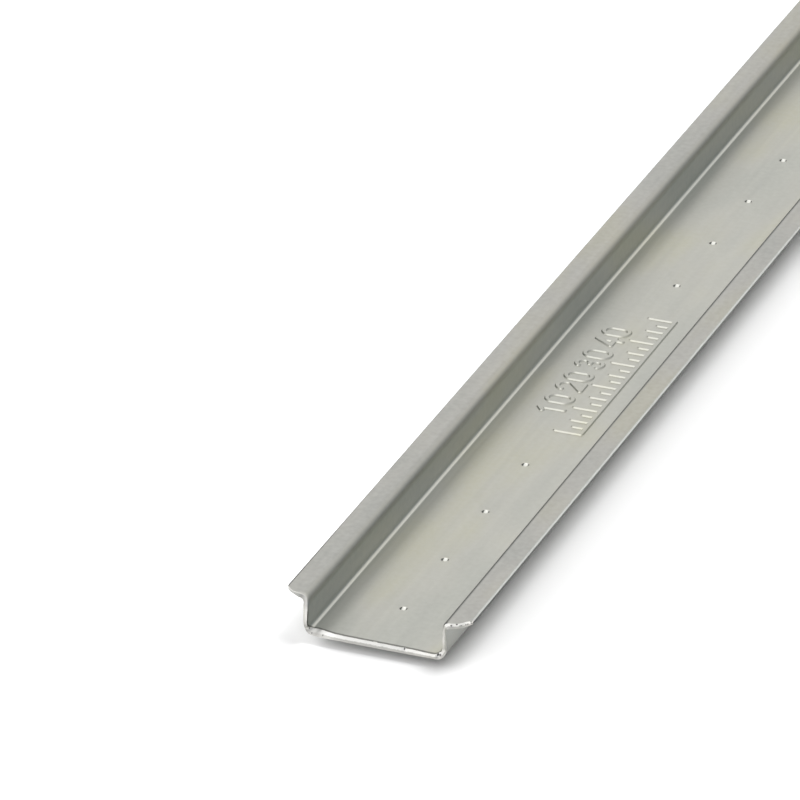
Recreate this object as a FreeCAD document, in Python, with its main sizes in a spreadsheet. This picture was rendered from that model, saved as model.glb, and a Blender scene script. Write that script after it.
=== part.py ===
"""Top hat rail, 35 mm wide and 7.5 mm high, rolled from 1 mm zinc plated steel sheet.

The rail lies on its base with the open channel up. X runs across the rail, Y along it and
Z up. The origin is the middle of the underside. The near end, whose lips the cutter has
left short at their corners, is at -Y, and the far end is cut square.
"""
import FreeCAD, Part
import math
import os
import Sketcher

# Driving dimensions in millimetres, and counts of punched marks.
SIZES = {
    "rail_length": 1000.0,
    "rail_width": 35.0,
    "channel_width": 27.0,
    "rail_height": 7.5,
    "sheet_thickness": 1.0,
    "bend_radius": 0.8,
    "first_mark": 13.4,
    "mark_pitch": 20.0,
    "mark_diameter": 1.6,
    "mark_depth": 0.35,
    "marks_in_run": 7,
    "marks_in_near_run": 4,
    "marks_left_out": 3,
    "corner_length": 2.1,
    "corner_width": 3.6,
}

# Places across the section, as expressions of the sheet's cells.
TIP = "sizes.rail_width / 2"
WALL_OUTSIDE = "sizes.channel_width / 2"
WALL_INSIDE = "sizes.channel_width / 2 - sizes.sheet_thickness"
BASE_TOP = "sizes.sheet_thickness"
LIP_UNDERSIDE = "sizes.rail_height - sizes.sheet_thickness"
LIP_TOP = "sizes.rail_height"
NEAR_END = "-sizes.rail_length / 2"


def make_sheet(doc):
    """Write each driving dimension to a cell of its own and name the cell."""
    sheet = doc.addObject("Spreadsheet::Sheet", "sizes")
    for row, (name, value) in enumerate(SIZES.items(), start=1):
        sheet.set("A%d" % row, name)
        sheet.set("B%d" % row, str(value))
        sheet.setAlias("B%d" % row, name)
    doc.recompute()
    return sheet


def minus(expression):
    """Return the expression of the mirror image across the rail's middle."""
    return "-(%s)" % expression


def make_sketch(body, name, role):
    """Add a sketch on the body's own origin plane of the given role."""
    plane = next(f for f in body.Origin.OriginFeatures if f.Role == role)
    sketch = body.newObject("Sketcher::SketchObject", name)
    sketch.AttachmentSupport = [(plane, "")]
    sketch.MapMode = "FlatFace"
    return sketch


def tie_point(sketch, line, end, place):
    """Tie one end of a line to the sketch's origin by two distances bound to the sheet."""
    for kind, expression in zip(("DistanceX", "DistanceY"), place):
        value = float(sketch.evalExpression(expression))
        number = sketch.addConstraint(Sketcher.Constraint(kind, -1, 1, line, end, value))
        sketch.setExpression("Constraints[%d]" % number, expression)


def outline_points(sketch, places):
    """Work out where places given as expressions lie in the sketch now."""
    return [FreeCAD.Vector(sketch.evalExpression(x), sketch.evalExpression(y), 0)
            for x, y in places]


def draw_outline(sketch, corners):
    """Draw a closed outline of straight lines through corners given as expressions."""
    points = outline_points(sketch, corners)
    ends = points[1:] + points[:1]
    lines = sketch.addGeometry([Part.LineSegment(a, b) for a, b in zip(points, ends)], False)
    followers = lines[1:] + lines[:1]
    for line, follower, corner in zip(lines, followers, corners):
        sketch.addConstraint(Sketcher.Constraint("Coincident", line, 2, follower, 1))
        tie_point(sketch, line, 1, corner)


def pad_section(body):
    """Pad the square-cornered hat section to the rail's length, half each way."""
    right = [
        (WALL_INSIDE, BASE_TOP),
        (WALL_INSIDE, LIP_TOP),
        (TIP, LIP_TOP),
        (TIP, LIP_UNDERSIDE),
        (WALL_OUTSIDE, LIP_UNDERSIDE),
        (WALL_OUTSIDE, "0"),
    ]
    left = [(minus(x), z) for x, z in reversed(right)]
    sketch = make_sketch(body, "hat_section", "XZ_Plane")
    draw_outline(sketch, right + left)
    pad = body.newObject("PartDesign::Pad", "straight_rail")
    pad.Profile = sketch
    pad.Midplane = True
    pad.setExpression("Length", "sizes.rail_length")
    return pad


def edges_along_rail(body, places):
    """Name the edges that run along Y at x either side of the middle, at each (x, z)."""
    wanted = [(body.evalExpression(x), body.evalExpression(z)) for x, z in places]
    names = []
    for number, edge in enumerate(body.Shape.Edges, start=1):
        start, end = edge.firstVertex().Point, edge.lastVertex().Point
        runs_along = math.hypot(end.x - start.x, end.z - start.z) < 1e-6
        if runs_along and any(math.hypot(abs(start.x) - x, start.z - z) < 1e-6 for x, z in wanted):
            names.append("Edge%d" % number)
    return names


def round_bends(body, before, name, places, radius):
    """Round the section's corners at the given places, as the rollers bend the sheet."""
    body.Document.recompute()
    fillet = body.newObject("PartDesign::Fillet", name)
    fillet.Base = (before, edges_along_rail(body, places))
    fillet.setExpression("Radius", radius)
    return fillet


def mark_runs(sheet):
    """List (first mark, count) of each run of marks that lies on the rail."""
    room = sheet.rail_length - sheet.first_mark - sheet.mark_diameter
    total = math.floor(room / sheet.mark_pitch) + 1
    run = int(sheet.marks_in_run)
    period = run + int(sheet.marks_left_out)
    runs = []
    for start in range(int(sheet.marks_in_near_run) - run, total, period):
        first, stop = max(start, 0), min(start + run, total)
        if stop > first:
            runs.append((first, stop - first))
    return runs


def punch_run(body, number, first, count):
    """Punch a run of conical marks along the middle of the base."""
    along = "%s + sizes.first_mark + %d * sizes.mark_pitch" % (NEAR_END, first)
    apex = (along, BASE_TOP + " - sizes.mark_depth")
    rim = (along + " + sizes.mark_diameter / 2", BASE_TOP)
    centre = (along, BASE_TOP)
    sketch = make_sketch(body, "mark_profile_%d" % number, "YZ_Plane")
    draw_outline(sketch, [apex, rim, centre])
    axis = sketch.addGeometry(Part.LineSegment(*outline_points(sketch, [apex, centre])), True)
    tie_point(sketch, axis, 1, apex)
    tie_point(sketch, axis, 2, centre)
    mark = body.newObject("PartDesign::Groove", "mark_%d" % number)
    mark.Profile = sketch
    mark.ReferenceAxis = (sketch, ["Axis0"])
    body.Document.recompute()
    if count == 1:
        return mark
    run = body.newObject("PartDesign::LinearPattern", "mark_run_%d" % number)
    run.Originals = [mark]
    run.Direction = (sketch, ["H_Axis"])
    run.Mode = "Spacing"
    run.Occurrences = count
    run.setExpression("Offset", "sizes.mark_pitch")
    body.Tip = run
    return run


def cut_lip_corners(body):
    """Take a thin wedge off each lip's corner at the near end, as the cutter leaves them."""
    sketch = make_sketch(body, "lip_corners", "XY_Plane")
    root = TIP + " - sizes.corner_width"
    back = NEAR_END + " + sizes.corner_length"
    for side in (str, minus):
        draw_outline(sketch, [(side(root), NEAR_END), (side(TIP), back), (side(TIP), NEAR_END)])
    pocket = body.newObject("PartDesign::Pocket", "short_lip_corners")
    pocket.Profile = sketch
    pocket.Type = "ThroughAll"
    pocket.Reversed = True
    return pocket


def make_rail(doc, sheet):
    """Build the whole rail as one body."""
    body = doc.addObject("PartDesign::Body", "hat_rail")
    body.Label = "hat_rail"
    pad = pad_section(body)
    inner_corners = [(WALL_INSIDE, BASE_TOP), (WALL_OUTSIDE, LIP_UNDERSIDE)]
    outer_corners = [(WALL_OUTSIDE, "0"), (WALL_INSIDE, LIP_TOP)]
    inner = round_bends(body, pad, "bend_insides", inner_corners, "sizes.bend_radius")
    round_bends(body, inner, "bend_outsides", outer_corners, "sizes.bend_radius + sizes.sheet_thickness")
    doc.recompute()
    bent_volume = body.Shape.Volume
    cut_lip_corners(body)
    doc.recompute()
    cut_volume = body.Shape.Volume
    for number, (first, count) in enumerate(mark_runs(sheet), start=1):
        punch_run(body, number, first, count)
    doc.recompute()
    if not body.Shape.Volume < cut_volume < bent_volume:
        raise RuntimeError("the marks or the lip corners cut nothing")
    return body


def check(doc, body):
    """Stop if any object has failed or the rail is not one valid solid."""
    for item in doc.Objects:
        if "Invalid" in item.State or "Error" in item.State:
            raise RuntimeError("%s failed: %s" % (item.Label, item.State))
    if body.Shape.isNull() or not body.Shape.isValid() or len(body.Shape.Solids) != 1:
        raise RuntimeError("%s is not one valid solid" % body.Label)


def main():
    doc = FreeCAD.newDocument("hat_rail_document")
    sheet = make_sheet(doc)
    body = make_rail(doc, sheet)
    check(doc, body)
    os.makedirs("parts", exist_ok=True)
    body.Shape.exportStep("parts/%s.step" % body.Label)
    box = body.Shape.BoundBox
    print("rail %.2f x %.2f x %.2f mm" % (box.XLength, box.YLength, box.ZLength))
    print("volume %.1f cubic mm, %d faces" % (body.Shape.Volume, len(body.Shape.Faces)))
    print("runs of marks (first, count):", mark_runs(sheet))


main()
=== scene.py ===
# %% [markdown]
# # A top hat rail of zinc plated steel
#
# The object is one piece of rolled strip: 1 mm steel sheet, zinc plated and passivated, bent
# into a hat section and cut to length. Switches and terminals clip on to its two lips. The
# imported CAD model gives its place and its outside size. This script makes the surface that
# shows: fine bends, a sheared end, punched centre marks and a stamped scale, and the satin
# zinc on all of it. Every shape is worked out with numpy as whole arrays, because the rail
# is long and thin: modifiers would spend their faces evenly, while here they go where the
# eye finds detail.

import bpy
import bmesh
import numpy as np
from mathutils import Matrix, Vector
from mathutils.geometry import delaunay_2d_cdt


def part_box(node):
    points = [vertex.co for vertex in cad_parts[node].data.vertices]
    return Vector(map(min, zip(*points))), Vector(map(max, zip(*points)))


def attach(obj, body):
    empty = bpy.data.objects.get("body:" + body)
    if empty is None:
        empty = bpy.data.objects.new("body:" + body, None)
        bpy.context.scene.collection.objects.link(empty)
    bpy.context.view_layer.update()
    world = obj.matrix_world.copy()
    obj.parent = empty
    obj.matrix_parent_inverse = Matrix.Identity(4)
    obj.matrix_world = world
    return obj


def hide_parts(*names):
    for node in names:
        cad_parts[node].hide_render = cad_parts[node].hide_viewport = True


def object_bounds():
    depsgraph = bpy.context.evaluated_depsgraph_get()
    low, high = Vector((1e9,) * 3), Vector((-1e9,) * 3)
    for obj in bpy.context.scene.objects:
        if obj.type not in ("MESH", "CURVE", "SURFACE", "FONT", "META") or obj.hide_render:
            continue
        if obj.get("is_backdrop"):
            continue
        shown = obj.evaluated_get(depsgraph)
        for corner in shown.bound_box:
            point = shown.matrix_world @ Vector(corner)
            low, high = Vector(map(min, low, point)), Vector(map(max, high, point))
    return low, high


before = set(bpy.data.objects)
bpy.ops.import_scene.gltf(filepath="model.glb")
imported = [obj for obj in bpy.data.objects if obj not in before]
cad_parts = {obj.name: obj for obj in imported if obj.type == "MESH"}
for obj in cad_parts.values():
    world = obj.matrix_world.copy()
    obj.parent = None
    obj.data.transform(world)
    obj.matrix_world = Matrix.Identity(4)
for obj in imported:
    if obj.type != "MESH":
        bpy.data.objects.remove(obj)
cad_low, cad_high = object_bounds()
rail_low, rail_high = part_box("hat_rail")
MM = 0.001
print("CAD box in mm:", [round(side / MM, 2) for side in rail_high - rail_low])

# %% [markdown]
# ## Sizes
#
# The outside width, height and length come from the frame. The rest is what a rail of this
# standard section measures: a channel 27 mm over its walls, 1 mm sheet and inside bends of
# 0.8 mm. Lengths are in millimetres here, and become metres only when a mesh is made.

# %% Sizes of the section, the marks and the cut end
RAIL_LENGTH = (rail_high.y - rail_low.y) / MM
RAIL_WIDTH = (rail_high.x - rail_low.x) / MM
RAIL_HEIGHT = (rail_high.z - rail_low.z) / MM
CHANNEL_WIDTH = 27.0
SHEET = 1.0
INSIDE_BEND = 0.8
MIDDLE_BEND = INSIDE_BEND + SHEET / 2
OUTSIDE_BEND = INSIDE_BEND + SHEET
QUARTER = np.pi / 2

WALL_FLAT = RAIL_HEIGHT - 2 * OUTSIDE_BEND
LIP_FLAT = (RAIL_WIDTH - CHANNEL_WIDTH) / 2 - INSIDE_BEND
BEND_ARC = MIDDLE_BEND * QUARTER
BEND_1 = CHANNEL_WIDTH / 2 - OUTSIDE_BEND
WALL = BEND_1 + BEND_ARC
BEND_2 = WALL + WALL_FLAT
LIP = BEND_2 + BEND_ARC
TIP = LIP + LIP_FLAT

FIRST_MARK = 13.4
MARK_PITCH = 20.0
MARK_OFF_MIDDLE = 0.1
MARK_RADIUS = 0.8
MARK_DEPTH = 0.38
MARKS_IN_RUN = 7
MARKS_LEFT_OUT = 3
MARKS_IN_NEAR_RUN = 4
print("half the strip's width, along the middle of the sheet: %.2f mm" % TIP)

# %% [markdown]
# ## The section as one line
#
# A roller forms the strip by turning it, never by stretching it, so the section is a line
# with a heading: level on the base, turning up through a quarter circle, straight up the
# wall, and back to level through a second quarter circle. Walking that line by its length
# gives any point of the sheet's middle, and its heading gives the direction through the
# sheet. This keeps the two faces of every bend concentric with no extra work.


# %% A walk along the section
def section(s):
    """Middle of the sheet at walked length s from the rail's middle, and the heading there.

    Each stretch adds its own part: a flat adds its length, and a quarter circle of radius r
    adds r sin(angle) one way and r (1 - cos(angle)) the other. The left half mirrors the right.
    """
    walked = np.abs(s)
    first_turn = np.clip((walked - BEND_1) / MIDDLE_BEND, 0, QUARTER)
    second_turn = np.clip((walked - BEND_2) / MIDDLE_BEND, 0, QUARTER)
    x = (np.clip(walked, 0, BEND_1) + MIDDLE_BEND * np.sin(first_turn)
         + MIDDLE_BEND * (1 - np.cos(second_turn)) + np.clip(walked - LIP, 0, None))
    z = (SHEET / 2 + MIDDLE_BEND * (1 - np.cos(first_turn))
         + np.clip(walked - WALL, 0, WALL_FLAT) + MIDDLE_BEND * np.sin(second_turn))
    side = np.sign(s)
    return side * x, z, side * (first_turn - second_turn)


x_tip, z_tip, _ = section(np.array([TIP]))
print("tip of the lip's middle at x %.2f, z %.2f mm" % (x_tip[0], z_tip[0]))

# %% [markdown]
# ## The sheared end
#
# A rail cutter shears the strip, and this one was not quite sharp: the cut wanders, leans and
# leaves the corners of the two lips short. It could be cut with a Boolean, but then the face
# would be flat. Here two lines say how far the cut stands back from a square end, one along
# the top of the sheet and one along its underside, and the face runs from one to the other.
# All of it fades out within 8 mm, so it is a shift of each point along the rail.

# %% Where the cut runs, in mm: place across the strip and distance back from a square end
END_ZONE = 8.0
TIP_ROUND = 0.09
FAR_ROUND = 0.08
CUT_TOP = np.array([
    (-22.9, 2.7), (-22.5, 2.2), (-21.6, 1.4), (-20.9, 1.1), (-20.3, 1.1), (-19.2, 0.95), (-18.6, 0.65),
    (-18.1, 0.3), (-17.6, 0), (-17, -0.27), (-16, -0.5), (-14.8, -0.72), (-14, -0.65), (-13.4, -0.2),
    (-12.9, 0.4), (-12.2, 0.7), (-11, 0.9), (-9.2, 0.46), (-7.7, 0.15), (-6, 0), (0, -0.1), (6, -0.2),
    (9, -0.35), (10.8, -0.5), (11.5, -0.4), (12.1, 0.4), (12.9, 0.5), (16.5, 0.47), (18.3, 0.4),
    (19.7, 0), (20.8, 0.28), (21.3, 0.83), (21.9, 1.5), (22.5, 2.05), (22.9, 2.2)])
CUT_UNDER = np.array([
    (-22.9, 2.9), (-22.3, 2.3), (-21.2, 1.54), (-20.2, 0.94), (-19.3, 0.7), (-18.3, 0.4), (-17.6, 0.1),
    (-16, 0), (-14.5, -0.05), (-13.7, 0.15), (-13, 0.1), (-12.3, -0.15), (-11.7, -0.23), (-10.4, -0.39),
    (-7.7, -0.45), (0, -0.5), (10.4, -0.5), (11.7, -0.45), (12.8, -0.3), (13.7, 0), (15, 0),
    (17.6, -0.2), (18.6, -0.35), (19.7, -0.35), (20.8, 0.17), (21.5, 0.64), (22.1, 1.5), (22.7, 2.5),
    (22.9, 2.6)])
ROLL_LENGTH = 0.6
TORN_TOP = 0.45
ROUGH_DEPTH, TORN_DEPTH = 0.03, 0.06
NICK_PLACE, NICK_WIDTH, NICK_DEPTH, NICK_LENGTH = 5.65, 0.2, 0.35, 0.5
ROLL_DEPTH = np.array([(-22.9, 0.1), (-20, 0.14), (-19, 0.25), (-18, 0.25), (-17, 0.08), (-12, 0.05),
                       (11, 0.05), (17, 0.1), (17.8, 0.18), (19, 0.2), (19.7, 0.12), (22.9, 0.1)])


def ripple(s, wavelengths, seed):
    """Mean of equal sines of s with the given wavelengths in mm, each with its own fixed phase."""
    phases = np.random.default_rng(seed).uniform(0, 2 * np.pi, len(wavelengths))
    waves = [np.sin(2 * np.pi * s / length + phase) for length, phase in zip(wavelengths, phases)]
    return sum(waves) / len(waves)


def rounded_edge(v, radius):
    """Distance that a quarter round at each face takes off an edge, at height v in the sheet."""
    to_face = np.minimum(v, 1 - v) * SHEET
    inside = np.clip(radius - to_face, 0, radius)
    return radius - np.sqrt(radius ** 2 - inside ** 2)


def cut_shift(s, v, along):
    """How far the near end's surface moves along the rail, and what share of v it keeps.

    The shift goes in a straight line through the sheet from the cut line under it to the one
    on top, with ripples, a bulge of its torn part and a small nick in its upper part. The roll
    over is a parabola that thins the sheet towards the cut.
    """
    fade = np.clip(1 - along / END_ZONE, 0, 1)
    top, under = np.interp(s, *CUT_TOP.T), np.interp(s, *CUT_UNDER.T)
    torn = np.clip(1 - v / TORN_TOP, 0, 1) * np.clip(v / 0.1, 0, 1)
    rough = (ROUGH_DEPTH * ripple(s, (2.9, 1.7, 0.9), 1)
             + TORN_DEPTH * torn * ripple(s + 2 * v, (1.1, 0.6, 0.4), 2))
    nick = NICK_DEPTH * np.exp(-((s - NICK_PLACE) / NICK_WIDTH) ** 2) * np.clip(2 * v - 0.6, 0, 1)
    at_cut = np.clip(1 - along / NICK_LENGTH, 0, 1)
    shift = fade * (under + (top - under) * v + rough) + at_cut * nick
    depth = np.interp(s, *ROLL_DEPTH.T) * (1 + 0.4 * ripple(s, (4.3, 2.9, 1.7), 3))
    roll = np.clip(1 - along / ROLL_LENGTH, 0, 1) ** 2 * depth
    return shift, 1 - roll / SHEET


def sheet_point(s, v, along):
    """Rows of x, y, z, s, v and along, for s across the strip, v through it and along the rail.

    It starts from the middle of the sheet and goes (v - 1/2) times the thickness along the
    direction through the sheet, which is the heading turned a quarter left.
    """
    s, v, along = np.broadcast_arrays(*[np.asarray(value, float) for value in (s, v, along)])
    at_tip = np.clip((np.abs(s) - (TIP - 2 * TIP_ROUND)) / (2 * TIP_ROUND), 0, 1)
    at_far_end = np.clip((along - (RAIL_LENGTH - 2 * FAR_ROUND)) / (2 * FAR_ROUND), 0, 1)
    shift, kept = cut_shift(s, v, along)
    x, z, heading = section(s - np.sign(s) * at_tip * rounded_edge(v, TIP_ROUND))
    through = (v * kept - 0.5) * SHEET
    y = along + shift - at_far_end * rounded_edge(v, FAR_ROUND) - RAIL_LENGTH / 2
    x, z = x - through * np.sin(heading), z + through * np.cos(heading)
    return np.stack([x, y, z, s, v, along], axis=-1)


stands_back = np.concatenate([CUT_TOP, CUT_UNDER])[:, 1]
print("the cut stands back %.1f to %.1f mm" % (stands_back.min(), stands_back.max()))

# %% [markdown]
# ## Marks and the stamped scale
#
# A wheel in the rolling line punches a centre mark every 20 mm, for the drill. Where three
# marks are left out there is a stamping, here a plain scale: a line with a tick every
# 2.5 mm and the numbers of the tens. A mark is round, so its height is a function of the
# distance from its centre. The scale stands up from the base like a mesa, so all that its
# shape needs is the distance to the nearest stroke: strokes join cleanly, and all have the
# same sloping sides.


# %% Height of a punched mark
RIM_HEIGHT, RIM_RADIUS, RIM_WIDTH = 0.035, 1.12 * MARK_RADIUS, 0.16


def mark_height(radius):
    """A pit that falls as a cosine to its bottom, with a low rim of pushed up metal round it."""
    pit = -MARK_DEPTH * np.cos(np.clip(radius / MARK_RADIUS, 0, 1) * QUARTER) ** 1.3
    rim = RIM_HEIGHT * np.exp(-((radius - RIM_RADIUS) / RIM_WIDTH) ** 2)
    return pit + rim


print("a mark is %.2f mm deep, its rim %.3f mm high" % (-mark_height(0.0), mark_height(RIM_RADIUS)))

# %% Strokes of the scale
STAMP_LENGTH = 50.0
STROKE_HEIGHT = 0.24
STROKE_HALF = 0.33
STROKE_SLOPE = 0.215
TICK_STEP = 2.5
LONG_TICK, MIDDLE_TICK, SHORT_TICK = 5.0, 3.6, 2.4
RULE_X = 5.3
DIGIT_HEIGHT, DIGIT_WIDTH, DIGIT_GAP = 4.9, 3.0, 1.5
DIGIT_BASE_X = -1.05


def segment(start, end):
    """A straight stroke as (kind, numbers)."""
    return ("line", np.array([*start, *end], float))


def arc(centre, radius, start_deg, end_deg):
    """A stroke along a circle, anticlockwise from the first angle to the second."""
    return ("arc", np.array([*centre, radius, np.radians(start_deg), np.radians(end_deg)]))


DIGITS = {
    "0": [arc((0.3, 0.7), 0.3, 0, 180), arc((0.3, 0.3), 0.3, 180, 360),
          segment((0, 0.3), (0, 0.7)), segment((0.6, 0.3), (0.6, 0.7))],
    "1": [segment((0.35, 0), (0.35, 1)), segment((0.35, 1), (0.1, 0.8))],
    "2": [arc((0.3, 0.7), 0.3, -40, 170), segment((0.53, 0.507), (0, 0)), segment((0, 0), (0.6, 0))],
    "3": [arc((0.3, 0.74), 0.26, -90, 150), arc((0.3, 0.24), 0.26, -150, 90)],
    "4": [segment((0.45, 0), (0.45, 1)), segment((0.45, 1), (0, 0.3)), segment((0, 0.3), (0.62, 0.3))],
}


def distance(stroke, px, py):
    """Distance from points to a stroke: to the nearest point of its line or of its arc."""
    kind, numbers = stroke
    if kind == "line":
        ax, ay, bx, by = numbers
        length = np.hypot(bx - ax, by - ay)
        share = np.clip(((px - ax) * (bx - ax) + (py - ay) * (by - ay)) / length ** 2, 0, 1)
        return np.hypot(px - ax - share * (bx - ax), py - ay - share * (by - ay))
    cx, cy, radius, start, end = numbers
    angle = (np.arctan2(py - cy, px - cx) - start) % (2 * np.pi)
    spread = end - start
    nearest = np.where(angle > (spread + 2 * np.pi) / 2, 0, np.minimum(angle, spread)) + start
    return np.hypot(px - cx - radius * np.cos(nearest), py - cy - radius * np.sin(nearest))


def stroke_distance(x, y):
    """Distance to the nearest stroke of the scale, at x across the rail and y from its start."""
    nearest = distance(segment((RULE_X, 0), (RULE_X, STAMP_LENGTH)), x, y)
    for count in range(int(STAMP_LENGTH / TICK_STEP) + 1):
        reach = LONG_TICK if count % 4 == 0 else MIDDLE_TICK if count % 2 == 0 else SHORT_TICK
        tick = segment((RULE_X, count * TICK_STEP), (RULE_X - reach, count * TICK_STEP))
        nearest = np.minimum(nearest, distance(tick, x, y))
    for tens in range(1, 5):
        start = tens * 10 - DIGIT_WIDTH - DIGIT_GAP / 2
        for place, digit in enumerate(str(tens) + "0"):
            along = (y - start - place * (DIGIT_WIDTH + DIGIT_GAP)) / DIGIT_HEIGHT
            up = (DIGIT_BASE_X - x) / DIGIT_HEIGHT
            for stroke in DIGITS[digit]:
                nearest = np.minimum(nearest, distance(stroke, along, up) * DIGIT_HEIGHT)
    return nearest


print("a scale is %.0f mm long, its strokes %.2f mm wide at the foot" % (
    STAMP_LENGTH, 2 * (STROKE_HALF + STROKE_SLOPE)))

# %% Which places along the rail hold a mark and which a scale
def layout():
    """Places of the marks, and of the middles of the scales, from the near end in mm."""
    period = MARKS_IN_RUN + MARKS_LEFT_OUT
    count = int((RAIL_LENGTH - FIRST_MARK - 2 * MARK_RADIUS) // MARK_PITCH) + 1
    index = np.arange(count)
    in_period = (index - MARKS_IN_NEAR_RUN) % period
    marked = in_period >= MARKS_LEFT_OUT
    middles = in_period == MARKS_LEFT_OUT // 2
    places = FIRST_MARK + MARK_PITCH * index
    return places[marked], places[middles]


mark_places, scale_places = layout()
print("%d marks and %d scales along the rail" % (len(mark_places), len(scale_places)))

# %% [markdown]
# ## One closed skin
#
# The sheet is a long brick bent to shape, so its skin is six grids: top, bottom, two sides
# and two ends. Only the strip along the middle of the top needs fine detail, and only round
# a mark or a scale. There each stretch of 20 mm is a frame of four flat faces round a fine
# patch, which keeps the mesh light and closed. The pieces of skin share their edge points
# exactly, so they weld.


# %% Collecting pieces of skin
STRIP_PLACE = ("across", "through", "along")


def show(name, data):
    """Make an object for the data and link it to the scene."""
    thing = bpy.data.objects.new(name, data)
    bpy.context.scene.collection.objects.link(thing)
    return thing


class Skin:
    """Points and faces of one mesh, gathered piece by piece.

    A point is a row of x, y, z in mm and three numbers that the finish needs: its place
    across the strip, its height through the sheet from 0 to 1, and its place along the rail.
    """

    def __init__(self):
        self.points, self.starts, self.sizes, self.corners = [], [], [], []
        self.materials, self.count, self.loops = [], 0, 0

    def add(self, points, faces, material=0):
        """Add points (n, 6) and faces as rows of point numbers."""
        faces = np.atleast_2d(faces)
        self.points.append(points.reshape(-1, 6))
        self.starts.append(self.loops + faces.shape[1] * np.arange(len(faces)))
        self.sizes.append(np.full(len(faces), faces.shape[1]))
        self.corners.append((faces + self.count).ravel())
        self.materials.append(np.full(len(faces), material))
        self.count += len(self.points[-1])
        self.loops += faces.size

    def add_grid(self, points, material=0, flip=False):
        """Add a grid of points (rows, columns, 6) as quads."""
        rows, columns = points.shape[:2]
        number = np.arange(rows * columns).reshape(rows, columns)
        quads = np.stack([number[:-1, :-1], number[:-1, 1:], number[1:, 1:], number[1:, :-1]], -1)
        quads = quads.reshape(-1, 4)
        self.add(points, quads[:, ::-1] if flip else quads, material)

    def make(self, name, weld, sharp_deg):
        """Make the mesh, weld its seams, mark its sharp edges and return its object."""
        mesh = bpy.data.meshes.new(name)
        points = np.concatenate(self.points)
        corners = np.concatenate(self.corners)
        starts, sizes = np.concatenate(self.starts), np.concatenate(self.sizes)
        mesh.vertices.add(len(points))
        mesh.vertices.foreach_set("co", (points[:, :3] * MM).astype(np.float32).ravel())
        mesh.loops.add(len(corners))
        mesh.loops.foreach_set("vertex_index", corners.astype(np.int32))
        mesh.polygons.add(len(starts))
        mesh.polygons.foreach_set("loop_start", starts.astype(np.int32))
        mesh.polygons.foreach_set("loop_total", sizes.astype(np.int32))
        mesh.polygons.foreach_set("material_index", np.concatenate(self.materials).astype(np.int32))
        mesh.polygons.foreach_set("use_smooth", np.ones(len(starts), bool))
        for column, word in enumerate(STRIP_PLACE, start=3):
            layer = mesh.attributes.new(word, "FLOAT", "POINT")
            layer.data.foreach_set("value", points[:, column].astype(np.float32))
        mesh.update(calc_edges=True)
        mesh.validate()
        work = bmesh.new()
        work.from_mesh(mesh)
        bmesh.ops.remove_doubles(work, verts=work.verts, dist=weld)
        open_edges = sum(1 for edge in work.edges if not edge.is_manifold)
        triangles = sum(len(face.verts) - 2 for face in work.faces)
        print("%s: %d triangles, %d open edges, %.1f cubic cm" % (
            name, triangles, open_edges, work.calc_volume(signed=True) * 1e6))
        work.to_mesh(mesh)
        work.free()
        mesh.set_sharp_from_angle(angle=np.radians(sharp_deg))
        return show(name, mesh)


COAT, CUT = 0, 1
skin = Skin()
print("an empty skin; material %d is the zinc coat, %d the cut steel" % (COAT, CUT))

# %% Columns across the strip, rows along it and steps through it
LANE = 7.2
LAST_ROWS = 0.4


def spaced(stops, steps):
    """Even steps between stops: steps[i] of them from stops[i] to stops[i + 1]."""
    parts = [np.linspace(a, b, n, endpoint=False) for a, b, n in zip(stops, stops[1:], steps)]
    return np.append(np.concatenate(parts), stops[-1])


half_columns = spaced(
    [0, LANE, BEND_1 - 0.1, BEND_1, WALL, BEND_2, LIP, LIP + 0.1, TIP - 2 * TIP_ROUND, TIP],
    [20, 15, 1, 12, 11, 12, 1, 8, 2])
columns = np.concatenate([-half_columns[:0:-1], half_columns])
steps_through = np.array([0, 0.02, 0.06, 0.13, 0.22, 0.33, 0.45, 0.57, 0.7, 0.8, 0.87, 0.94, 0.98, 1])
end_rows = np.array([0, 0.03, 0.08, 0.14, 0.2, 0.27, 0.35, 0.43, 0.51, 0.6, 0.9, 1.6, 3.0, 5.5,
                     END_ZONE])
far_rows = RAIL_LENGTH - np.array([LAST_ROWS, 2 * FAR_ROUND, FAR_ROUND, 0])

cell_middles = np.sort(np.concatenate([mark_places, scale_places]))
is_scale = np.isin(cell_middles, scale_places)
half_cell = np.where(is_scale, MARK_PITCH * MARKS_LEFT_OUT / 2, MARK_PITCH / 2)
cell_starts, cell_ends = cell_middles - half_cell, cell_middles + half_cell
cell_starts[0], cell_ends[-1] = END_ZONE, far_rows[0]
borders = np.append(cell_starts, cell_ends[-1])
rows = np.concatenate([end_rows[:-1], borders, far_rows[1:]])
print("%d columns, %d rows, %d cells" % (len(columns), len(rows), len(cell_middles)))

# %% The six faces of the bent brick, all but the lane
in_lane = np.abs(columns) <= LANE + 1e-9
lane_start = np.argmax(in_lane)
left, lane, right = columns[:lane_start + 1], columns[in_lane], columns[-lane_start - 1:]

skin.add_grid(sheet_point(columns[None, :], 0, rows[:, None]), COAT, flip=True)
for side_columns in (left, right):
    skin.add_grid(sheet_point(side_columns[None, :], 1, rows[:, None]), COAT)
for lane_rows in (end_rows, far_rows):
    skin.add_grid(sheet_point(lane[None, :], 1, lane_rows[:, None]), COAT)
skin.add_grid(sheet_point(columns[None, :], steps_through[:, None], 0), CUT)
skin.add_grid(sheet_point(columns[None, :], steps_through[:, None], RAIL_LENGTH), CUT, flip=True)
skin.add_grid(sheet_point(-TIP, steps_through[None, :], rows[:, None]), COAT)
skin.add_grid(sheet_point(TIP, steps_through[None, :], rows[:, None]), COAT, flip=True)
print("%d points in the six faces" % skin.count)

# %% [markdown]
# ## Fine patches in the lane
#
# A mark's patch is made of rings and spokes. The scale is flat but for its slopes, so a fine
# grid would waste nearly all its faces: its patch has points only where a slope starts and
# where it ends. Those are two contour lines of the distance to the strokes, found cell by
# cell on a grid, and a Delaunay triangulation fills in between them.


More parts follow.
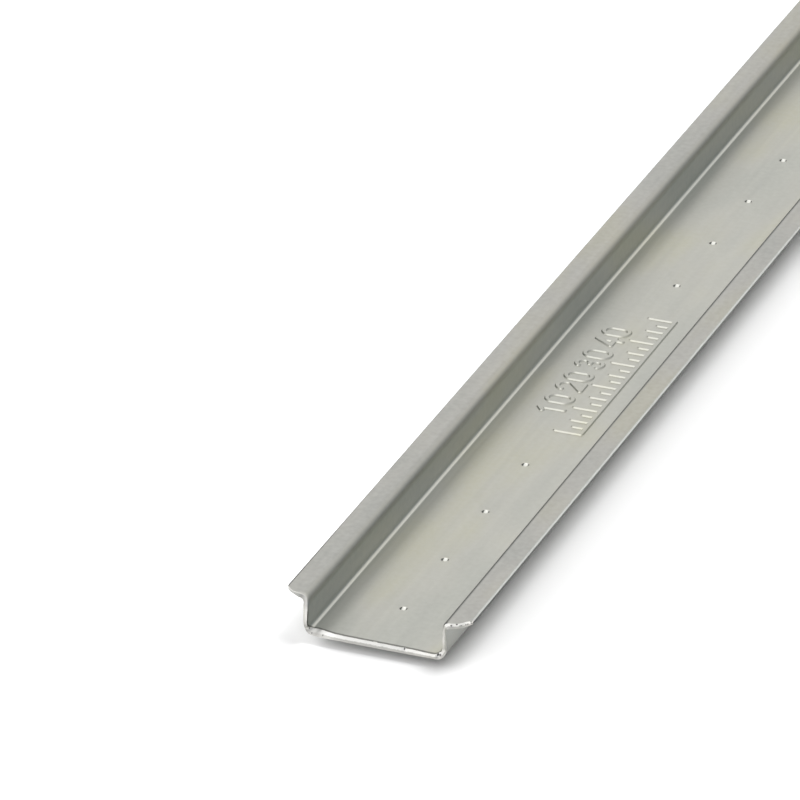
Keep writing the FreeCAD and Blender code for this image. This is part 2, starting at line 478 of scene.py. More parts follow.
# %% Contour lines of a height field
CLEAR_SHARE = 0.06


def contour(field, xs, ys, level):
    """Points and segments where a field on a grid crosses a level.

    Each grid edge whose ends lie on either side of the level gets one point, placed in
    proportion to the two values and kept clear of the grid's own points. A cell with two
    such points gets one segment, and a cell with four gets two.
    """
    above = field > level
    flat_i, flat_j = np.nonzero(above[:, 1:] != above[:, :-1])
    up_i, up_j = np.nonzero(above[1:] != above[:-1])
    share = (level - field[flat_i, flat_j]) / (field[flat_i, flat_j + 1] - field[flat_i, flat_j])
    rise = (level - field[up_i, up_j]) / (field[up_i + 1, up_j] - field[up_i, up_j])
    share, rise = [np.clip(part, CLEAR_SHARE, 1 - CLEAR_SHARE) for part in (share, rise)]
    on_flat = np.stack([xs[flat_j] + share * (xs[flat_j + 1] - xs[flat_j]), ys[flat_i]], -1)
    on_up = np.stack([xs[up_j], ys[up_i] + rise * (ys[up_i + 1] - ys[up_i])], -1)
    flat = np.full((len(ys), len(xs) - 1), -1)
    up = np.full((len(ys) - 1, len(xs)), -1)
    flat[flat_i, flat_j] = np.arange(len(flat_i))
    up[up_i, up_j] = len(flat_i) + np.arange(len(up_i))
    sides = np.stack([flat[:-1], up[:, 1:], flat[1:], up[:, :-1]], -1).reshape(-1, 4)
    crossings = (sides >= 0).sum(1)
    pairs = -np.sort(-sides[crossings == 2], axis=1)[:, :2]
    saddles = sides[crossings == 4].reshape(-1, 2)
    return np.concatenate([on_flat, on_up]), np.concatenate([pairs, saddles])


def scale_mesh(half_width, half_length, step):
    """Flat points (x, y, height) and triangles of the scale, cut along two contour lines."""
    xs = np.linspace(-half_width, half_width, int(round(2 * half_width / step)) + 1)
    ys = np.linspace(-half_length, half_length, int(round(2 * half_length / step)) + 1)
    field = stroke_distance(xs[None, :], ys[:, None] + STAMP_LENGTH / 2)
    corners = np.array([(-1, -1), (1, -1), (1, 1), (-1, 1)]) * (half_width, half_length)
    points, edges, heights = [corners], [np.array([(0, 1), (1, 2), (2, 3), (3, 0)])], [np.zeros(4)]
    for level, height in ((STROKE_HALF + STROKE_SLOPE, 0.0), (STROKE_HALF, STROKE_HEIGHT)):
        found, pairs = contour(field, xs, ys, level)
        edges.append(pairs + sum(len(part) for part in points))
        points.append(found)
        heights.append(np.full(len(found), height))
    flat = [Vector(point) for point in np.concatenate(points).tolist()]
    found, _, triangles, origins, _, _ = delaunay_2d_cdt(
        flat, np.concatenate(edges).tolist(), [], 1, 1e-6)
    given = np.concatenate(heights)
    height = np.array([given[origin[0]] if origin else 0.0 for origin in origins])
    place = np.array([point[:] for point in found])
    return np.column_stack([place, height]), np.array(triangles)


scale_points, scale_faces = scale_mesh(
    half_width=LANE - 0.3, half_length=STAMP_LENGTH / 2 + 1, step=0.2)
print("a scale has %d points and %d triangles" % (len(scale_points), len(scale_faces)))

# %% Patches and the frames round them
SPOKES, RINGS = 32, 10
PATCH_RADIUS, PATCH_FADE = 1.5 * MARK_RADIUS, 0.15
NEAR_LEFT = -3 * np.pi / 4


def base_points(x, along, height):
    """Rows of x, y, z, s, v and along for points at a height above the base's top face."""
    x, along, height = np.broadcast_arrays(x, along, height)
    y, top = along - RAIL_LENGTH / 2, np.ones_like(height, float)
    return np.stack([x, y, SHEET + height, x, top, along], axis=-1)


def mark_patch(middle):
    """Rings and spokes round a mark, and the patch's outer ring split at its four corners."""
    radius = np.linspace(0, PATCH_RADIUS, RINGS + 1)[1:, None]
    turn = np.linspace(0, 2 * np.pi, SPOKES + 1)[None, :] + NEAR_LEFT
    lift = mark_height(radius) * np.clip((PATCH_RADIUS - radius) / PATCH_FADE, 0, 1)
    ring = base_points(MARK_OFF_MIDDLE + radius * np.cos(turn), middle + radius * np.sin(turn), lift)
    skin.add_grid(ring, COAT, flip=True)
    centre = base_points(MARK_OFF_MIDDLE, middle, mark_height(0.0))
    hub = np.concatenate([centre.reshape(1, 6), ring[0]])
    spokes = np.arange(1, SPOKES + 1)
    skin.add(hub, np.stack([np.zeros(SPOKES, int), spokes, spokes + 1], -1), COAT)
    quarter = SPOKES // 4
    return [ring[-1][k * quarter:(k + 1) * quarter + 1] for k in range(4)]


def scale_patch(middle):
    """The scale's triangles, and its four edges, anticlockwise from the near left corner."""
    points = base_points(scale_points[:, 0], middle + scale_points[:, 1], scale_points[:, 2])
    skin.add(points, scale_faces, COAT)
    return [points[[k, (k + 1) % 4]] for k in range(4)]


def frame_cell(start, end, edges, near_lane, far_lane):
    """Join a patch's four edges to its cell with one flat face each."""
    near_x = lane if near_lane else np.array([-LANE, LANE])
    far_x = lane if far_lane else np.array([-LANE, LANE])
    outer = [
        base_points(near_x, start, 0.0),
        base_points(np.array([LANE, LANE]), np.array([start, end]), 0.0),
        base_points(far_x[::-1], end, 0.0),
        base_points(np.array([-LANE, -LANE]), np.array([end, start]), 0.0),
    ]
    for outside, inside in zip(outer, edges):
        ring = np.concatenate([outside, inside[::-1]])
        skin.add(ring, np.arange(len(ring)), COAT)


last = len(cell_middles) - 1
for number, middle in enumerate(cell_middles):
    edges = scale_patch(middle) if is_scale[number] else mark_patch(middle)
    frame_cell(cell_starts[number], cell_ends[number], edges, number == 0, number == last)

# Points within two thousandths of a millimetre are one, and edges of over 33 degrees stay sharp.
rail = skin.make("rail", weld=2e-6, sharp_deg=33)
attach(rail, "root")
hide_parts("hat_rail")

# %% [markdown]
# ## Colours and nodes
#
# A material is a small tree of nodes. One function adds a node with its settings, its inputs
# and its links, so a finish reads like a list. Colours are written as sRGB hex values, as a
# colour picker shows them, and one function turns them into the linear values that a shader
# works with.


# %% Three helpers for every finish
def linear(colour):
    """Linear RGBA from an sRGB hex string, by the sRGB curve. Numbers are linear as they are."""
    if not isinstance(colour, str):
        return colour
    srgb = np.array([int(colour[i:i + 2], 16) for i in (1, 3, 5)]) / 255
    value = np.where(srgb <= 0.04045, srgb / 12.92, ((srgb + 0.055) / 1.055) ** 2.4)
    return (*value, 1.0)


def add_node(tree, kind, inputs=None, out=0, stops=(), **settings):
    """Add a ShaderNode with its settings, its ramp's stops and its inputs as values or links.

    It returns one output, the first unless out names another, or the node where out is None.
    """
    node = tree.nodes.new("ShaderNode" + kind)
    for name, value in settings.items():
        setattr(node, name, value)
    for name, value in (inputs or {}).items():
        if isinstance(value, bpy.types.NodeSocket):
            tree.links.new(value, node.inputs[name])
        else:
            node.inputs[name].default_value = linear(value)
    for number, (position, colour) in enumerate(stops):
        elements = node.color_ramp.elements
        at_end = number in (0, len(stops) - 1)
        element = elements[-1 if number else 0] if at_end else elements.new(position)
        element.position, element.color = position, linear(colour)
    return node if out is None else node.outputs[out]


def new_material(name, colour, metallic, roughness):
    """A material whose one shader has plain values, and its node tree and shader."""
    material = bpy.data.materials.new(name)
    material.use_nodes = True
    tree = material.node_tree
    shader = tree.nodes["Principled BSDF"]
    shader.inputs["Base Color"].default_value = linear(colour)
    shader.inputs["Metallic"].default_value = metallic
    shader.inputs["Roughness"].default_value = roughness
    return material, tree, shader


# A Mix node takes numbers unless it is told otherwise, and its third output is the colour.
COLOUR_MIX = {"data_type": "RGBA", "out": 2}
print("a middle grey of #808080 is %.3f in linear light" % linear("#808080")[0])

# %% [markdown]
# ## Zinc plated steel
#
# The strip is cold rolled steel with a few thousandths of a millimetre of zinc on it, plated
# from a bath and then passivated, which leaves a faint warm tint. To the eye it is a satin
# metal: soft reflections, cloudy patches, fine lines along the rolling direction and a dull
# sparkle. One grey with some noise would do for a flat sheet, but the tone changes across the
# strip: the left inside bend is lighter, partly rollers' polish and partly painted highlight,
# and the right one darker, as painted shade. So the colour is a ramp over the place across the
# strip, which the mesh carries as an attribute, and the patterns are laid over it. An attribute
# stays on its spot of the strip, where a pattern on plain coordinates would run across a bend.

# %% Tones across the strip, from tip to tip in mm along the middle of the sheet
# The left inside bend's light tone is partly polish and partly a painted highlight; the right inside
# bend is darker than the base, as painted shade.
BASE_TONE, FILLET_POLISH_AND_HIGHLIGHT_TONE, WALL_TONE, BEND_TONE = "#c8c8be", "#eeeee2", "#c2c6c3", "#cfcdc2"
LIP_TONE, RIGHT_FILLET_SHADE_TONE, FILLET_FOOT_TONE = "#b9b8b1", "#b9b9b0", "#d2d2c9"
TONES_ACROSS = (
    (-19.4, LIP_TONE), (-18.9, BEND_TONE), (-18.3, BEND_TONE), (-17.7, WALL_TONE),
    (-12.95, WALL_TONE), (-12.7, FILLET_POLISH_AND_HIGHLIGHT_TONE), (-12.1, FILLET_POLISH_AND_HIGHLIGHT_TONE), (-11.85, FILLET_FOOT_TONE),
    (-9.5, BASE_TONE), (11.85, BASE_TONE), (12.1, RIGHT_FILLET_SHADE_TONE), (12.7, RIGHT_FILLET_SHADE_TONE),
    (12.95, WALL_TONE), (18.0, WALL_TONE), (18.9, LIP_TONE))

# Metallic 1, as for any bare metal, and the default IOR. Roughness 0.36 is satin: a mirror
# polish would be near 0.05 and a hot dip galvanised sheet about 0.45.
zinc, tree, shader = new_material("passivated_zinc_on_rolled_steel", BASE_TONE, 1.0, 0.36)
across, through, along = [
    add_node(tree, "Attribute", attribute_name=word, out="Fac") for word in STRIP_PLACE]
off_middle = add_node(tree, "Math", {0: across}, operation="ABSOLUTE")
ramp_place = add_node(tree, "MapRange", {"Value": across, "From Min": -TIP, "From Max": TIP})
tone_stops = [((s + TIP) / (2 * TIP), tone) for s, tone in TONES_ACROSS]
tone = add_node(tree, "ValToRGB", {"Fac": ramp_place}, stops=tone_stops)
print("the base reflects %.2f of the light, the lips %.2f" % (linear(BASE_TONE)[1], linear(LIP_TONE)[1]))

# %% Clouds, rolling lines and sparkle
# The passivation dries in patches about 14 mm across, drawn out three times along the rail.
CLOUD_SIZE = 14.0
# Rolling lines are about 0.1 mm apart, too fine to show here, so they are drawn 1.6 mm apart
# and 33 times as long.
LINE_SIZE = 1.6
# Plated zinc has a grain of a few hundredths of a millimetre, drawn at 1.1 mm for the same
# reason.
GRAIN_SIZE = 1.1

place = add_node(tree, "TexCoord", out="Object")
drawn_out = add_node(tree, "Mapping", {"Vector": place, "Scale": (1, 0.35, 1)})
rolled_out = add_node(tree, "Mapping", {"Vector": place, "Scale": (1, 0.03, 1)})
clouds = add_node(tree, "TexNoise", {"Vector": drawn_out, "Scale": 1 / (CLOUD_SIZE * MM)})
lines = add_node(tree, "TexNoise", {"Vector": rolled_out, "Scale": 1 / (LINE_SIZE * MM)})
grain = add_node(tree, "TexNoise", {"Vector": place, "Scale": 1 / (GRAIN_SIZE * MM), "Detail": 3})

# The clouds take the metal from a cool grey to a faint warm one, the grain makes it sparkle,
# and every other rolling line is a little darker.
CLOUD_TONES = ((0.35, "#f2f3f3"), (0.5, "#fcfbfa"), (0.65, "#fffdf2"))
SPARKLE_TONE, LINE_TONE = "#d2d2ca", "#70726c"
cloudy = add_node(tree, "ValToRGB", {"Fac": clouds}, stops=CLOUD_TONES)
tone = add_node(tree, "Mix", {0: 1.0, 6: tone, 7: cloudy}, blend_type="MULTIPLY", **COLOUR_MIX)
sparkle = add_node(tree, "MapRange", {"Value": grain, "From Min": 0.3, "From Max": 0.7, "To Max": 0.3})
dark_lines = add_node(tree, "MapRange", {"Value": lines, "From Min": 0.65, "From Max": 0.35,
                                         "To Max": 0.1})
for mask, colour in ((sparkle, SPARKLE_TONE), (dark_lines, LINE_TONE)):
    tone = add_node(tree, "Mix", {0: mask, 6: tone, 7: colour}, **COLOUR_MIX)
print("patterns of %.0f, %.1f and %.1f mm on the zinc" % (CLOUD_SIZE, LINE_SIZE, GRAIN_SIZE))

# %% [markdown]
# ### Painted shade and highlight on the zinc, and the slit edges
#
# Five places depart from the clean coat. A dark line of painted shade lies on the outside of
# the upper bends, stronger on the right, for the dark reflection there. A band of painted shade
# lies on top for half a millimetre next to the cut, and the underside of the sheet is painted
# duller, as painted shade. The strip was slit from a wide coil, which leaves bare edges with a
# bright band where the knife went in and a dark one where the steel broke: the knives meet from
# opposite sides, so the bright band is on top at the right edge and at the bottom at the left
# one. Their tones are also a painted highlight and painted shade, and the dark bands get more
# painted shade next to the cut. Each is a mask from the attributes, by a Map Range that falls
# where its From Min is the larger, and mixes its own tone over what is there.

# %% Painted shade on the bends, by the cut and underneath, and slit edges
BEND_SHADE_TONE, NEAR_CUT_SHADE_TONE, UNDERSIDE_SHADE_TONE = "#62635e", "#5a5a55", "#9a9b96"
BEND_SHADE_LINE = ((-18.9, 0.0), (-18.4, 0.1), (-17.9, 0.1), (-17.4, 0.0),
            (18.1, 0.0), (18.4, 1.0), (18.95, 1.0), (19.25, 0.0))
# The slit edges' two bands are real, and their tones are also painted light: the bright one a painted
# highlight on the corner, the dark one painted shade.
BROKEN_BAND_AND_SHADE_TONE, KNIFE_BAND_AND_HIGHLIGHT_TONE = "#4a4b47", "#d0d0cb"
BROKEN_TOP, KNIFE_FOOT = 0.46, 0.62
EDGE_START, EDGE_FULL = TIP - 0.06, TIP - 0.01

# Painted shade on the outside of the upper bends, strongest on the right, for the dark reflection there.
bend_shade_stops = [((s + TIP) / (2 * TIP), (share, share, share, 1)) for s, share in BEND_SHADE_LINE]
bend_shade = add_node(tree, "ValToRGB", {"Fac": ramp_place}, stops=bend_shade_stops)

# Painted shade on top of the sheet for half a millimetre next to the cut, off the lips.
near_cut = add_node(tree, "MapRange", {"Value": along, "From Min": 0.55, "From Max": 0.4,
                                       "To Max": 0.7})
off_lips = add_node(tree, "MapRange", {"Value": off_middle, "From Min": 17, "From Max": 16})
near_cut_shade = add_node(tree, "Math", {0: near_cut, 1: off_lips}, operation="MULTIPLY")

# Painted shade: the underside of the sheet, with the outsides of the walls, is darker.
outside = add_node(tree, "MapRange", {"Value": through, "From Min": 0.3, "From Max": 0.1,
                                      "To Max": 0.8})

which_side = add_node(tree, "Math", {0: across}, operation="SIGN")
off_centre = add_node(tree, "Math", {0: through, 1: 0.5}, operation="SUBTRACT")
knife_side = add_node(tree, "Math", {0: which_side, 1: off_centre, 2: 0.5}, operation="MULTIPLY_ADD")
slit_stops = ((BROKEN_TOP, BROKEN_BAND_AND_SHADE_TONE), (KNIFE_FOOT, KNIFE_BAND_AND_HIGHLIGHT_TONE))
slit_tone_with_painted_light = add_node(tree, "ValToRGB", {"Fac": knife_side}, stops=slit_stops)
on_edge = add_node(tree, "MapRange", {"Value": off_middle, "From Min": EDGE_START,
                                      "From Max": EDGE_FULL})

for mask, colour in ((bend_shade, BEND_SHADE_TONE), (near_cut_shade, NEAR_CUT_SHADE_TONE), (outside, UNDERSIDE_SHADE_TONE),
                     (on_edge, slit_tone_with_painted_light)):
    tone = add_node(tree, "Mix", {0: mask, 6: tone, 7: colour}, **COLOUR_MIX)
print("slit edges from %.2f mm outwards, %.1f mm of sheet high" % (EDGE_START, SHEET))

# %% Painted shade on the broken half of the slit edges, fading over 40 mm
SHADED_EDGE_LENGTH, EDGE_SHADE_TONE = 40.0, "#1c1c1a"

towards_cut = add_node(tree, "MapRange", {"Value": along, "From Min": SHADED_EDGE_LENGTH, "From Max": 5.0,
                                          "To Max": 0.9})
broken = add_node(tree, "MapRange", {"Value": knife_side, "From Min": KNIFE_FOOT,
                                     "From Max": BROKEN_TOP})
at_rim = add_node(tree, "MapRange", {"Value": off_middle, "From Min": TIP - 0.35,
                                     "From Max": TIP - 0.15})
# Painted shade on the dark band of the slit edges, strongest next to the cut.
edge_shade = add_node(tree, "Math", {0: towards_cut, 1: broken}, operation="MULTIPLY")
edge_shade = add_node(tree, "Math", {0: edge_shade, 1: at_rim}, operation="MULTIPLY")
tone = add_node(tree, "Mix", {0: edge_shade, 6: tone, 7: EDGE_SHADE_TONE}, **COLOUR_MIX)
print("the edges are soiled over %.0f mm" % SHADED_EDGE_LENGTH)

# %% Painted glint and shade in the pits of the marks
# The middle of each pit is painted light, as a painted glint, and its two sides dark, as
# painted shade. A point is in a pit where the top face lies below the base's top, which is 1 mm up.
PIT_GLINT_TONE, PIT_SIDE_SHADE_TONE = "#edede4", "#73746e"
PIT_MIDDLE_HALF, PIT_ROUGHNESS = 0.38, 0.25

height = add_node(tree, "SeparateXYZ", {"Vector": place}, out="Z")
sunk = add_node(tree, "MapRange", {"Value": height, "From Min": (SHEET - 0.02) * MM,
                                   "From Max": (SHEET - 0.06) * MM})
on_top = add_node(tree, "Math", {0: through, 1: 0.99}, operation="GREATER_THAN")
in_pit = add_node(tree, "Math", {0: sunk, 1: on_top}, operation="MULTIPLY")
from_mark = add_node(tree, "Math", {0: across, 1: MARK_OFF_MIDDLE}, operation="SUBTRACT")
from_mark = add_node(tree, "Math", {0: from_mark}, operation="ABSOLUTE")
pit_side_shade = add_node(tree, "MapRange", {"Value": from_mark, "From Min": PIT_MIDDLE_HALF - 0.05,
                                       "From Max": PIT_MIDDLE_HALF + 0.05})
# Painted glint in the pit's middle, painted shade on its two sides.
pit_glint_and_shade = add_node(tree, "Mix", {0: pit_side_shade, 6: PIT_GLINT_TONE, 7: PIT_SIDE_SHADE_TONE}, **COLOUR_MIX)
tone = add_node(tree, "Mix", {0: in_pit, 6: tone, 7: pit_glint_and_shade}, **COLOUR_MIX)
tree.links.new(tone, shader.inputs["Base Color"])
print("the polished middle of a pit is %.2f mm wide" % (2 * PIT_MIDDLE_HALF))

# %% Satin gloss and relief of the zinc
# The rolling lines swing the roughness by a tenth, which breaks up long reflections, and the
# grain lifts the surface by two hundredths of a millimetre. The polished pits are smoother.
satin = add_node(tree, "MapRange", {"Value": lines, "From Min": 0.3, "From Max": 0.7,
                                    "To Min": 0.33, "To Max": 0.4})
gloss = add_node(tree, "Mix", {0: in_pit, 2: satin, 3: PIT_ROUGHNESS})
tree.links.new(gloss, shader.inputs["Roughness"])
relief = add_node(tree, "Bump", {"Strength": 0.25, "Distance": 0.02 * MM, "Height": grain})
tree.links.new(relief, shader.inputs["Normal"])
print("%s: %d nodes" % (zinc.name, len(tree.nodes)))

# %% [markdown]
# ## Sheared steel
#
# The cut end is bare steel. A shear first cuts cleanly, which leaves a bright burnished band
# under the edge where it went in, and then the rest of the sheet tears, which leaves a dull
# grey band with small dimples. Here the blade came from above. The corners of the bends are
# crushed, and a few chips broke out. The two bands are a ramp over the height through the
# sheet, made uneven by the same noise that dents the torn part, and the chips are a short
# list of places and sizes, each a round spot by its distance. Painting the bands on a plain
# face would look flat, so the mesh has the step and the bulge of the tear as well.

# %% Bands of the cut: burnished above, torn below
# The dimples of torn steel are about 0.05 mm wide, too fine to show here, so they are drawn
# at 0.35 mm, which is two pixels of the photograph.
TORN_SIZE = 0.35
BURNISHED_FOOT, WANDER = 0.68, 0.3
CUT_TONES = ((0.0, "#c4c3bd"), (0.5, "#bdbcb6"), (BURNISHED_FOOT, "#eeede8"))

sheared, tree, shader = new_material("sheared_bare_steel", "#d8d7d1", 1.0, 0.42)
place = add_node(tree, "TexCoord", out="Object")
across, through, along = [
    add_node(tree, "Attribute", attribute_name=word, out="Fac") for word in STRIP_PLACE]
torn = add_node(tree, "TexNoise", {"Vector": place, "Scale": 1 / (TORN_SIZE * MM), "Detail": 3})
wander = add_node(tree, "Math", {0: torn, 1: WANDER, 2: through}, operation="MULTIPLY_ADD")
tone = add_node(tree, "ValToRGB", {"Fac": wander}, stops=CUT_TONES)
print("the burnished band is the top %.1f mm or so" % ((1 - BURNISHED_FOOT + WANDER / 2) * SHEET))

# %% Crushed left corner, painted shade on the left lip's cut, and chips
CORNER_TONE, LEFT_LIP_CUT_SHADE_TONE, CHIP_TONE = "#bcbbb6", "#999995", "#2c2c2a"
# Each chip's place across the strip, height through the sheet and radius, in mm.
CHIPS = (
    (-12.75, 0.75, 0.14), (-11.9, 0.3, 0.08), (-9.8, 0.35, 0.1), (5.65, 0.85, 0.12),
    (5.65, 0.65, 0.1), (12.0, 0.75, 0.2), (12.35, 0.6, 0.2), (19.8, 0.6, 0.15),
    (20.7, 0.88, 0.15), (21.2, 0.5, 0.08), (21.4, 0.5, 0.07), (21.95, 0.47, 0.08),
    (22.2, 0.47, 0.09), (22.65, 0.85, 0.13), (22.7, 0.45, 0.12))

left_corner = add_node(tree, "MapRange", {"Value": across, "From Min": -8.5, "From Max": -11.0,
                                          "To Max": 0.75})
# The left lip's cut is painted a darker grey below its rim, as painted shade.
on_left_lip = add_node(tree, "MapRange", {"Value": across, "From Min": -18.6, "From Max": -19.6})
below_rim = add_node(tree, "MapRange", {"Value": through, "From Min": 0.85, "From Max": 0.7})
left_lip_cut_shade = add_node(tree, "Math", {0: on_left_lip, 1: below_rim}, operation="MULTIPLY")

# The distance to the nearest chip's rim is the least of the distances to their centres less
# their radii. Below zero is inside a chip. Only the near end has them.
spot = add_node(tree, "CombineXYZ", {"X": across, "Y": through})
to_rim = 1.0
for chip_s, chip_v, radius in CHIPS:
    to_centre = add_node(tree, "VectorMath", {0: spot, 1: (chip_s, chip_v, 0)}, operation="DISTANCE",
                         out="Value")
    past_edge = add_node(tree, "Math", {0: to_centre, 1: radius}, operation="SUBTRACT")
    to_rim = add_node(tree, "Math", {0: to_rim, 1: past_edge}, operation="MINIMUM")
chipped = add_node(tree, "MapRange", {"Value": to_rim, "From Min": 0.06, "From Max": -0.04,
                                      "To Max": 0.85})
near_end = add_node(tree, "Math", {0: along, 1: END_ZONE}, operation="LESS_THAN")
chipped = add_node(tree, "Math", {0: chipped, 1: near_end}, operation="MULTIPLY")

for mask, colour in ((left_corner, CORNER_TONE), (left_lip_cut_shade, LEFT_LIP_CUT_SHADE_TONE), (chipped, CHIP_TONE)):
    tone = add_node(tree, "Mix", {0: mask, 6: tone, 7: colour}, **COLOUR_MIX)
tree.links.new(tone, shader.inputs["Base Color"])
print("%d chips, the largest %.1f mm across" % (len(CHIPS), 2 * max(chip[2] for chip in CHIPS)))

# %% Gloss and relief of the cut, and both finishes on the rail
uneven = add_node(tree, "MapRange", {"Value": torn, "From Min": 0.3, "From Max": 0.7,
                                     "To Min": 0.3, "To Max": 0.5})
tree.links.new(uneven, shader.inputs["Roughness"])
relief = add_node(tree, "Bump", {"Strength": 0.4, "Distance": 0.05 * MM, "Height": torn})
tree.links.new(relief, shader.inputs["Normal"])

for material in (zinc, sheared):
    rail.data.materials.append(material)
print("finishes on the rail:", [material.name for material in rail.data.materials])

# %% [markdown]
# ## Floor
#
# The rail was photographed on white paper, which shows as pure white but for a soft shadow.
# The shadow is soft right from the rail's edge, as where an object lies on a thin clear sheet
# above the paper, so the paper is 1.5 mm below the rail. It is large enough to fill the view
# from any side. A white floor could be had with stronger lamps, but they would burn out the
# metal. Here the paper is a plain light grey that glows faintly for the camera and for
# reflections only: lit paper reaches white, and where the light is held back the shadow stays.

# %% Matt white paper
WHITE = (1, 1, 1, 1)
FLOOR_HALF = 30.0
FLOOR_GAP = 1.5
PAPER_GLOW = 0.05
paper_corners = FLOOR_HALF * np.array([(-1, -1, 0), (1, -1, 0), (1, 1, 0), (-1, 1, 0)], float)
paper_corners[:, 2] = rail_low.z - FLOOR_GAP * MM
floor_mesh = bpy.data.meshes.new("floor")
floor_mesh.from_pydata(paper_corners.tolist(), [], [(0, 1, 2, 3)])
floor = show("floor", floor_mesh)

paper, tree, shader = new_material("matt_white_paper", "#f2f2f2", 0.0, 1.0)
shader.inputs["Specular IOR Level"].default_value = 0.0
shader.inputs["Emission Color"].default_value = WHITE
rays = add_node(tree, "LightPath", out=None).outputs
seen = add_node(tree, "Math", {0: rays["Is Camera Ray"], 1: rays["Is Glossy Ray"]}, operation="MAXIMUM")
glow = add_node(tree, "Math", {0: seen, 1: PAPER_GLOW}, operation="MULTIPLY")
tree.links.new(glow, shader.inputs["Emission Strength"])
floor_mesh.materials.append(paper)
floor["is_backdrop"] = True
print("paper at z %.1f mm" % (paper_corners[0, 2] / MM))

# %% [markdown]
# ## The room
#
# Metal shows what is round it more than the light that falls on it, so the room is made for
# three kinds of ray. The camera sees plain white. Reflections see a studio that is bright
# above and to the left and dark low on the right: that makes the base and the lips light and
# the left wall, which looks to the right, dark. One brighter patch high over the viewer, as
# of a softbox, gives the strokes of the scale and the pits their glint. Matt things, which
# here is only the paper, get a weak fill from the front left, so that the shadow falls to
# the right and fades out. Each is a direction's dot product with one vector, remapped.

# %% Three rooms in one world
UP_LEFT, OVER_VIEWER, FRONT_LEFT = (-0.6, 0.0, 0.8), (-0.33, -0.5, 0.8), (-0.65, -0.75, 0.1)
DARK_SIDE, LIGHT_SIDE = (0.14, 0.16, 0.18, 1), (1.02, 1.02, 1.04, 1)
PATCH_STRENGTH, FILL_STRENGTH = 1.9, 1.8

world = bpy.data.worlds.new("soft_studio")
bpy.context.scene.world = world
world.use_nodes = True
tree = world.node_tree
tree.nodes.clear()
direction = add_node(tree, "TexCoord", out="Generated")
to_left, to_patch, to_front = [
    add_node(tree, "VectorMath", {0: direction, 1: towards}, operation="DOT_PRODUCT", out="Value")
    for towards in (UP_LEFT, OVER_VIEWER, FRONT_LEFT)]

lightness = add_node(tree, "MapRange", {"Value": to_left, "From Min": -0.5, "From Max": 0.6})
room = add_node(tree, "Mix", {0: lightness, 6: DARK_SIDE, 7: LIGHT_SIDE}, **COLOUR_MIX)
patch = add_node(tree, "MapRange", {"Value": to_patch, "From Min": 0.88, "From Max": 1.0,
                                    "To Min": 1.0, "To Max": PATCH_STRENGTH})
studio = add_node(tree, "Background", {"Color": room, "Strength": patch})

soft_fill = add_node(tree, "MapRange", {"Value": to_front, "From Min": -0.2, "From Max": 1.0,
                                        "To Min": 0.03, "To Max": FILL_STRENGTH})
fill = add_node(tree, "Background", {"Color": WHITE, "Strength": soft_fill})

white = add_node(tree, "Background", {"Color": WHITE, "Strength": 1.0})
rays = add_node(tree, "LightPath", out=None).outputs
lit = add_node(tree, "MixShader", {0: rays["Is Diffuse Ray"], 1: studio, 2: fill})
seen = add_node(tree, "MixShader", {0: rays["Is Camera Ray"], 1: lit, 2: white})
add_node(tree, "OutputWorld", {"Surface": seen}, out=None)
bpy.context.scene.view_settings.view_transform = "Standard"
print("world %s: %d nodes" % (world.name, len(tree.nodes)))

# %% [markdown]
# ## Lamps
#
# Two large softboxes behind the rail, one high and one low, throw the shadow forwards and to
# the right. They are suns, because a sun lights the whole metre of rail evenly, and an angle
# of 32 degrees makes their shadow as soft as a softbox does. Reflections don't see them, or
# each bend would carry a hard bright line. A small card at the left lifts the corner that
# the softboxes leave in the dark.

# %% Two softboxes behind the rail
SPREAD = np.radians(32)
for name, towards, energy in (("high_softbox", (0.37, 0.45, 1.0), 1.6),
                              ("low_softbox", (0.27, 1.7, 1.0), 1.9)):
    softbox = show(name, bpy.data.lights.new(name, "SUN"))
    softbox.data.energy, softbox.data.angle = energy, SPREAD
    softbox.visible_glossy = False
    softbox.matrix_world = Vector(towards).to_track_quat("Z", "Y").to_matrix().to_4x4()
    softbox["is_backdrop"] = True
    print("%s stands %.0f degrees high" % (
        name, np.degrees(np.arcsin(Vector(towards).normalized().z))))

# %% A small reflector card at the left of the near end
CARD_LEFT, CARD_BACK, CARD_HEIGHT, CARD_SIZE = 60, 30, 30, 50
CARD_WATTS = 0.045

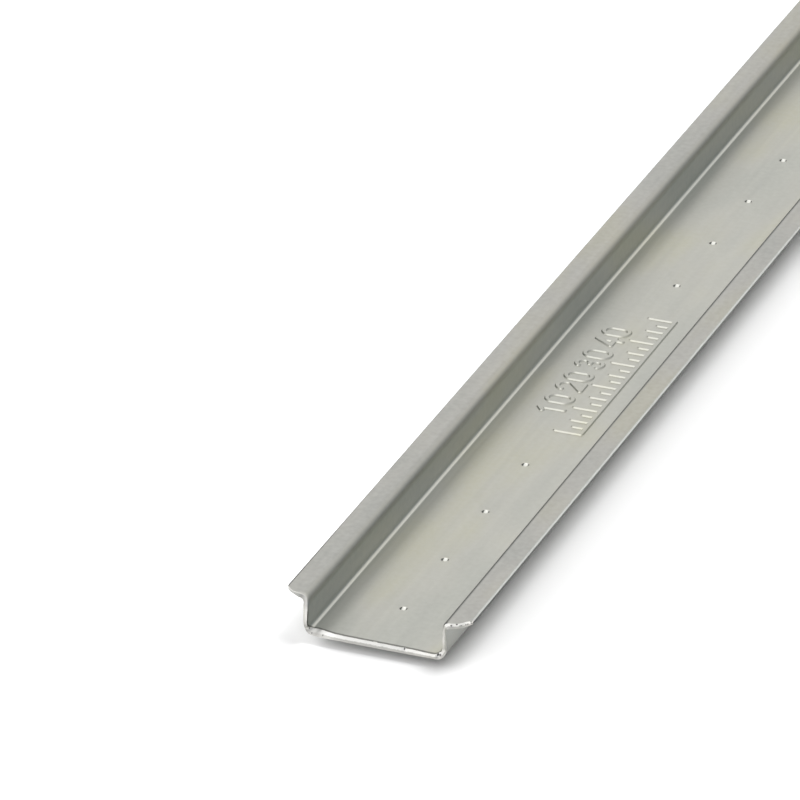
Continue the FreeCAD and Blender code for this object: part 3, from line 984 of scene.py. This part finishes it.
near_left_corner = Vector((rail_low.x, rail_low.y, 0))
towards_card = MM * Vector((-CARD_LEFT, CARD_BACK, CARD_HEIGHT))
card = show("reflector_card", bpy.data.lights.new("reflector_card", "AREA"))
card.data.size, card.data.energy = CARD_SIZE * MM, CARD_WATTS
card.visible_glossy = False
facing = towards_card.to_track_quat("Z", "Y").to_matrix().to_4x4()
card.matrix_world = Matrix.Translation(near_left_corner + towards_card) @ facing
card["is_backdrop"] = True
print("card %.0f mm from the near left corner" % (towards_card.length / MM))

# %% [markdown]
# ## Camera
#
# The photograph looks down on the near end from the right, with a long lens that keeps the
# rail's edges almost parallel. The place, the turn and the lens can't be guessed by eye, so
# they were fitted: the standard section gives the real distances between the long edges,
# and a camera that puts those edges, the marks and the near end where the photograph has
# them, to about a pixel, is the one that took it. The foot of the near end's middle is given
# as a pixel, and the camera's place follows from it.

# %% Camera from the fitted view
TURN, TILT = np.radians(21.687), np.radians(26.657)
DISTANCE = 1.59884
LENS, SENSOR = 410.63, 36.0
FRAME_SIDE = 800
FOOT_PIXEL = (374.71, 646.59)

look = Vector((-np.sin(TURN) * np.cos(TILT), np.cos(TURN) * np.cos(TILT), -np.sin(TILT)))
rightwards = Vector((np.cos(TURN), np.sin(TURN), 0))
upwards = rightwards.cross(look)
focal_pixels = LENS / SENSOR * FRAME_SIDE
near_foot = Vector((0, rail_low.y, 0))
aside = (FOOT_PIXEL[0] - FRAME_SIDE / 2) / focal_pixels
above = (FRAME_SIDE / 2 - FOOT_PIXEL[1]) / focal_pixels
camera_place = near_foot - DISTANCE * (look + aside * rightwards + above * upwards)

camera = show("camera", bpy.data.cameras.new("camera"))
camera.data.lens, camera.data.sensor_width = LENS, SENSOR
camera.data.clip_start, camera.data.clip_end = 0.05, 100.0
rotation = Matrix((rightwards, upwards, -look)).transposed().to_4x4()
camera.matrix_world = Matrix.Translation(camera_place) @ rotation
bpy.context.scene.camera = camera
print("camera at", [round(value, 4) for value in camera_place])
print("a pixel at the near end is %.3f mm" % (DISTANCE / focal_pixels / MM))

# %% [markdown]
# ## Last comparison
#
# The finished rail must fill the CAD model's box and not leave it, because whatever clips on
# it was made for that box. Both boxes are kept for a comparison.

# %% Compare the boxes and finish
new_low, new_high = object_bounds()
for axis, low, high, cad_side in zip("xyz", new_low, new_high, cad_high - cad_low):
    print("%s: %.2f mm, CAD %.2f mm" % (axis, (high - low) / MM, cad_side / MM))
